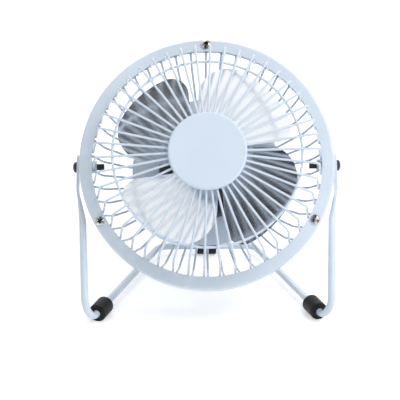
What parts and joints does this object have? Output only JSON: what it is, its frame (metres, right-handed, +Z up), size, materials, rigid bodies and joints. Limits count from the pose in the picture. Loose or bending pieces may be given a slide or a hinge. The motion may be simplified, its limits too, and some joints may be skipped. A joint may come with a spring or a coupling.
{
  "type": "desk fan",
  "caption": "Small metal desk fan: round wire guard and pressed ring on a bent rod stand, tilting on side pivots, with bright metal blades, rear motor cover and rocker switch.",
  "frame": {"origin": "on the table top, at the middle of the fan's footprint box", "axes": "+X to the fan's right as seen from the front, +Y to the back, +Z up; the fan blows towards -Y"},
  "size_m": [0.1472, 0.1181, 0.1437],
  "materials": {
    "paint_white": "semi-gloss powder coat",
    "wire_paint": "gloss powder coat",
    "badge_paint": "satin",
    "rubber_black": "matt",
    "zinc_steel": "zinc plated",
    "nickel_steel": "nickel plated",
    "black_steel": "black oxide",
    "black_plastic": "fine texture",
    "white_plastic": "semi-gloss",
    "blade_aluminium": "bright rolled sheet",
    "bronze": "turned",
    "copper": "enamelled wire",
    "ferrite": "sintered"
  },
  "bodies": {
    "stand": {"stand_frame": "paint_white", "foot_left": "rubber_black", "foot_right": "rubber_black", "foot_rear": "rubber_black"},
    "head": {"outer_ring": "paint_white", "front_spokes": "wire_paint", "front_rim_wire": "wire_paint", "front_mid_wire": "wire_paint", "front_hub_plate": "paint_white", "badge": "badge_paint", "rear_spokes": "wire_paint", "rear_rim_wire": "wire_paint", "rear_plate": "paint_white", "guard_clips": "zinc_steel", "guard_screws": "nickel_steel", "guard_nuts": "zinc_steel", "pivot_screws": "black_steel", "pivot_spacers": "black_plastic", "pivot_nuts": "zinc_steel", "motor_housing": "black_plastic", "motor_can": "zinc_steel", "motor_end_bell": "black_plastic", "magnets": "ferrite", "front_bush": "bronze", "rear_bush": "bronze", "brushes": "bronze", "motor_screws": "nickel_steel", "rear_cover": "white_plastic", "cover_screws": "black_steel", "switch_body": "black_plastic", "cord_gland": "rubber_black"},
    "rotor": {"blade_set": "blade_aluminium", "blade_hub": "bronze", "blade_rivets": "blade_aluminium", "shaft": "nickel_steel", "armature_core": "zinc_steel", "windings": "copper", "commutator": "copper"},
    "rocker": {"switch_rocker": "black_plastic"}
  },
  "joints": [
    {"name": "head_tilt", "type": "hinge", "parent": "stand", "child": "head", "pos_m": [0, 0.00112, 0.0756], "axis": [1, 0, 0], "continuous": true},
    {"name": "rotor_spin", "type": "hinge", "parent": "head", "child": "rotor", "pos_m": [0, 0.00112, 0.0756], "axis": [0, -0.848, 0.5299], "continuous": true},
    {"name": "switch_rock", "type": "hinge", "parent": "head", "child": "rocker", "pos_m": [0, 0.04654, 0.06903], "axis": [0, 0.5299, 0.848], "range_deg": [0, 18]}
  ]
}
